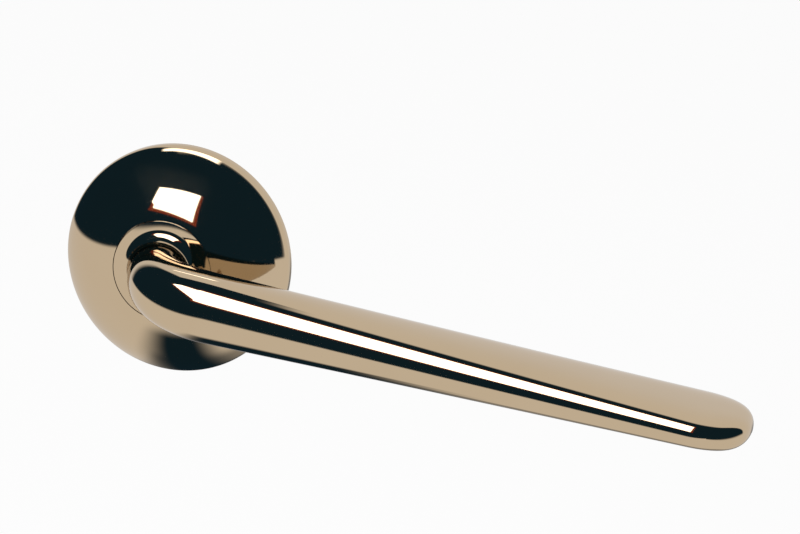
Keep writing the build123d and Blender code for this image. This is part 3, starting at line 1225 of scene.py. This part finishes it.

# %% [markdown]
# ## Softbox and cards
# The softbox is a card with its corners given as directions from the lever. A wing on its left runs out to a
# point, and the bright line on the elbow starts in that point. Red glowing cards stand out a little all round
# both. They are a painted red fringe, which shows as a thin red line along the highlights. Four more cards
# are
# close to the rose: a dark one and a narrow bright one above it, a dark one at its left that hides the wing,
# and a soft dark one below. The one below is painted shade that stands for the shadow under the lever.
# Painting these shapes on the metal would be wrong from any other side. Cards this near fill the rose, while
# the handle, further along, hardly sees them, and in the same way a dark card beside the tip shows in the tip
# alone.

# %% Cards with four corners
CARD_CUTS = 15


def direction(azimuth, elevation):
    """Unit vector from degrees: azimuth 0 is into the wall and 90 along the handle, elevation goes up."""
    azimuth, elevation = radians(azimuth), radians(elevation)
    return Vector((sin(azimuth) * cos(elevation), cos(azimuth) * cos(elevation), sin(elevation)))


def card_face(name, border, colour, glow):
    """Even glow that fades out over a border, which is a share of the card's width and length."""
    finish = Finish(bpy.data.materials.new(name))
    place = finish.node("ShaderNodeTexCoord", output="UV")
    mask = 1.0
    for axis, share in zip("XY", border):
        along = finish.node("ShaderNodeSeparateXYZ", inputs={0: place}, output=axis)
        mask = fade(finish, along, 0.0, share) * fade(finish, 1 - along, 0.0, share) * mask
    return masked_glow(finish, mask, colour, glow)


def hang_card(name, corners, border, colour, glow):
    """Four-cornered card, with a UV map from edge to edge."""
    bm = bmesh.new()
    bm.loops.layers.uv.new("UVMap")
    grid = bmesh.ops.create_grid(bm, x_segments=1, y_segments=1, size=1, calc_uvs=True)["verts"]
    for vert, corner in zip(sorted(grid, key=lambda vert: atan2(vert.co.y, vert.co.x)), corners):
        vert.co = corner
    bmesh.ops.subdivide_edges(bm, edges=bm.edges, cuts=CARD_CUTS, use_grid_fill=True)
    mirror_card(bm, name, card_face(name, border, colour, glow))
    print("card", name)


print("a card has", (CARD_CUTS + 1) ** 2, "squares")

# %% Softbox, its wing and the painted red fringe round them
SOFTBOX_CORNERS = ((169, 62), (231, 61), (211.5, 22.5), (179, 20))
WING_CORNERS = ((222, 60), (260, 44.5), (259, 41), (207, 22.4))
SOFTBOX_BORDER = (0.03, 0.04)
SOFTBOX_GLOW = 5.0
# Painted red fringe: red glowing cards a little further off, just outside the softbox and its wing, draw a
# thin red line along the highlights.
RED_FRINGE_CORNERS = ((164, 66), (234, 64.5), (214.2, 19.5), (176.3, 17.1))
WING_RED_FRINGE_CORNERS = ((220, 63), (263.5, 46.5), (262, 39.2), (206, 19.4))
RED_FRINGE_BORDER = (0.02, 0.03)
PAINTED_FRINGE_RED = (0.32, 0.06, 0.03)
RED_FRINGE_DISTANCE = 1.15

for name, corners in (("softbox", SOFTBOX_CORNERS), ("softbox_wing", WING_CORNERS)):
    hang_card(name, [direction(*corner) for corner in corners], SOFTBOX_BORDER, WHITE, SOFTBOX_GLOW)
for name, corners in (("painted_red_fringe", RED_FRINGE_CORNERS), ("wing_painted_red_fringe", WING_RED_FRINGE_CORNERS)):
    further_off = [RED_FRINGE_DISTANCE * direction(*corner) for corner in corners]
    hang_card(name, further_off, RED_FRINGE_BORDER, PAINTED_FRINGE_RED, PLAIN_GLOW)

# %% Cards close to the lever, with their corners in millimetres
DARK_CARD = ((-75, -46, 60), (27, -49, 60), (29, -15, 60), (-75, -4, 60))
BRIGHT_CARD = ((-15, -2.2, 35), (8.5, -4.6, 35), (9.2, -1.3, 35), (-15, -0.6, 35))
BRIGHT_GLOW = 4.0
SIDE_CARD = ((-26.2, -44.6, 27.7), (-22.8, -31.7, 46.6), (-25.3, -10.0, 54.0), (-47.8, -12.4, 25.7))
TIP_CARD = ((150, -90, -4.8), (150, -21, -4.8), (150, -40, 96), (150, -90, 96))
# Painted shade: the soft dark card below stands for the shadow under the lever, as the rose mirrors it.
PAINTED_SHADOW_CARD = ((-56, -95, -120), (60, -95, -120), (60, 140, -120), (-56, 140, -120))

for name, corners, border, colour, glow in (
    ("dark_card", DARK_CARD, (0.15, 0.02), DARK_CLOTH, PLAIN_GLOW),
    ("bright_card", BRIGHT_CARD, (0.10, 0.15), WHITE, BRIGHT_GLOW),
    ("side_card", SIDE_CARD, (0.02, 0.02), DARK_CLOTH, PLAIN_GLOW),
    ("tip_card", TIP_CARD, (0.03, 0.03), DARK_CLOTH, PLAIN_GLOW),
    ("painted_shadow_card", PAINTED_SHADOW_CARD, (0.37, 0.19), DARK_CLOTH, PLAIN_GLOW),
):
    hang_card(name, [Vector(corner) * mm for corner in corners], border, colour, glow)
